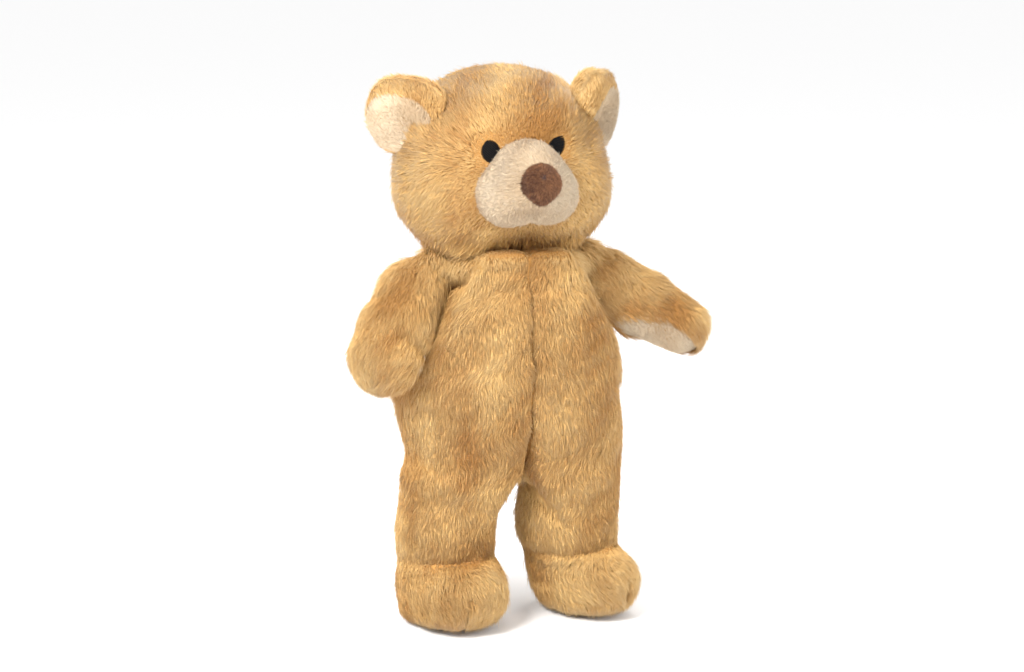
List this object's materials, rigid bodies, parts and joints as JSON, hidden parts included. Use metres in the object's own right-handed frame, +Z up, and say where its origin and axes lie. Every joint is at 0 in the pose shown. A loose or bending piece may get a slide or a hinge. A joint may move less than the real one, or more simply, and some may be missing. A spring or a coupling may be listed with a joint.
{
  "type": "jointed teddy bear",
  "caption": "Stuffed plush bear with a turning head and swinging arms and legs on locked disc joints, standing on flat soles.",
  "frame": {"origin": "on the ground under the middle of the bear's box", "axes": "+Z up, -Y the way the bear faces, -X the bear's own right side"},
  "size_m": [0.2475, 0.1411, 0.371],
  "materials": {
    "long_plush": "long glossy pile",
    "short_plush": "short soft pile",
    "nose_nap": "short brushed nap",
    "thread": "satin stitch",
    "fibrefill": "matte",
    "joint_board": "matte",
    "steel": "brushed"
  },
  "bodies": {
    "torso": {"torso_front_right": "long_plush", "torso_front_left": "long_plush", "torso_back_right": "long_plush", "torso_back_left": "long_plush", "torso_stuffing": "fibrefill", "neck_washer": "joint_board", "arm_right_washer": "joint_board", "arm_left_washer": "joint_board", "leg_right_washer": "joint_board", "leg_left_washer": "joint_board"},
    "head": {"head_side_right": "long_plush", "head_side_left": "long_plush", "head_gusset": "long_plush", "head_stuffing": "fibrefill", "neck_disc": "joint_board", "neck_lock": "steel", "muzzle_right": "short_plush", "muzzle_left": "short_plush", "nose": "nose_nap", "eye_right": "thread", "eye_left": "thread", "ear_right_front": "short_plush", "ear_right_back": "long_plush", "ear_left_front": "short_plush", "ear_left_back": "long_plush"},
    "arm_right": {"arm_right_outer": "long_plush", "arm_right_inner": "long_plush", "arm_right_pad": "short_plush", "arm_right_stuffing": "fibrefill", "arm_right_disc": "joint_board", "arm_right_lock": "steel"},
    "arm_left": {"arm_left_outer": "long_plush", "arm_left_inner": "long_plush", "arm_left_pad": "short_plush", "arm_left_stuffing": "fibrefill", "arm_left_disc": "joint_board", "arm_left_lock": "steel"},
    "leg_right": {"leg_right_front": "long_plush", "leg_right_back": "long_plush", "leg_right_foot": "long_plush", "leg_right_sole": "long_plush", "leg_right_stuffing": "fibrefill", "leg_right_disc": "joint_board", "leg_right_lock": "steel"},
    "leg_left": {"leg_left_front": "long_plush", "leg_left_back": "long_plush", "leg_left_foot": "long_plush", "leg_left_sole": "long_plush", "leg_left_stuffing": "fibrefill", "leg_left_disc": "joint_board", "leg_left_lock": "steel"}
  },
  "joints": [
    {"name": "neck_swivel", "type": "hinge", "parent": "torso", "child": "head", "pos_m": [-0.0103, 0.0155, 0.254], "axis": [0, 0, 1], "range_deg": [-90, 90]},
    {"name": "arm_right_swing", "type": "hinge", "parent": "torso", "child": "arm_right", "pos_m": [-0.0573, 0.0155, 0.2135], "axis": [-0.866, 0, 0.5], "range_deg": [-80, 70]},
    {"name": "arm_left_swing", "type": "hinge", "parent": "torso", "child": "arm_left", "pos_m": [0.0427, 0.0155, 0.2135], "axis": [-0.866, 0, -0.5], "range_deg": [-80, 70]},
    {"name": "leg_right_swing", "type": "hinge", "parent": "torso", "child": "leg_right", "pos_m": [-0.0183, 0.0155, 0.113], "axis": [-1, 0, 0], "range_deg": [-30, 90]},
    {"name": "leg_left_swing", "type": "hinge", "parent": "torso", "child": "leg_left", "pos_m": [0.0037, 0.0155, 0.113], "axis": [-1, 0, 0], "range_deg": [-30, 90]}
  ]
}
